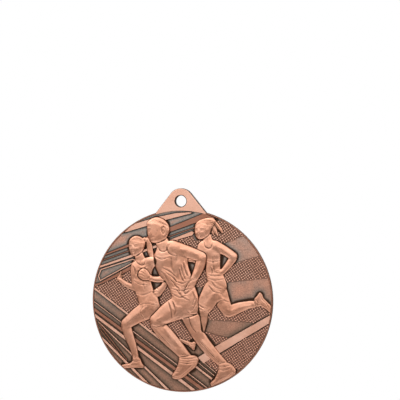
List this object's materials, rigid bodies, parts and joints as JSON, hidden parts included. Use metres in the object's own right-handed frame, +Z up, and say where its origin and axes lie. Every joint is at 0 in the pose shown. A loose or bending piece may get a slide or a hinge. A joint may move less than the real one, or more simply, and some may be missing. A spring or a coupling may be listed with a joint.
{
  "type": "finisher medal",
  "caption": "Round struck medal with a drilled hanging lug, raised rim, runners in relief over a stadium scene, and a laurel wreath round a plain seat on the back.",
  "frame": {"origin": "on the lug hole's axis, half way through the lug's thickness", "axes": "+Z up from the disc to the lug's tip, -Y out of the picture side, +X to the viewer's right when facing the picture side"},
  "size_m": [0.07, 0.0045, 0.078],
  "materials": {
    "antique_field": "matt antiqued bronze, toned dark in the recesses",
    "polished_copper": "relieved and polished copper-bronze, slightly worn",
    "polished_detail": "lightly relieved copper-bronze with dark edges",
    "stippled_crowd": "stippled, dark between raised copper points"
  },
  "bodies": {
    "root": {"crowd_panel_belt": "stippled_crowd", "crowd_panel_between_legs": "stippled_crowd", "crowd_panel_centre": "stippled_crowd", "crowd_panel_knee": "stippled_crowd", "crowd_panel_left": "stippled_crowd", "crowd_panel_low_wedge": "stippled_crowd", "crowd_panel_lower_right": "stippled_crowd", "crowd_panel_right": "stippled_crowd", "crowd_panel_shoe": "stippled_crowd", "crowd_panel_top": "stippled_crowd", "crowd_panel_under_leg": "stippled_crowd", "crowd_panel_upper_right": "stippled_crowd", "disc_blank": "antique_field", "finish_band": "polished_detail", "lane_fan_1": "polished_detail", "lane_fan_2": "polished_detail", "lane_inner_1": "polished_detail", "lane_inner_2": "polished_detail", "lane_line_1": "polished_detail", "lane_line_2": "polished_detail", "lane_line_3": "polished_detail", "lane_line_4": "polished_detail", "lane_line_5": "polished_detail", "lane_line_6": "polished_detail", "laurel_branch_left": "polished_detail", "laurel_branch_right": "polished_detail", "laurel_tie": "polished_detail", "obverse_rim": "polished_copper", "reverse_rim": "polished_copper", "roof_beam_1": "polished_detail", "roof_beam_2": "polished_detail", "roof_beam_3": "polished_detail", "roof_beam_4": "polished_detail", "roof_rib": "polished_detail", "runner_centre": "polished_copper", "runner_left": "polished_copper", "runner_right": "polished_copper", "stand_panel_frame": "polished_detail", "suspension_lug": "polished_copper"}
  },
  "joints": []
}
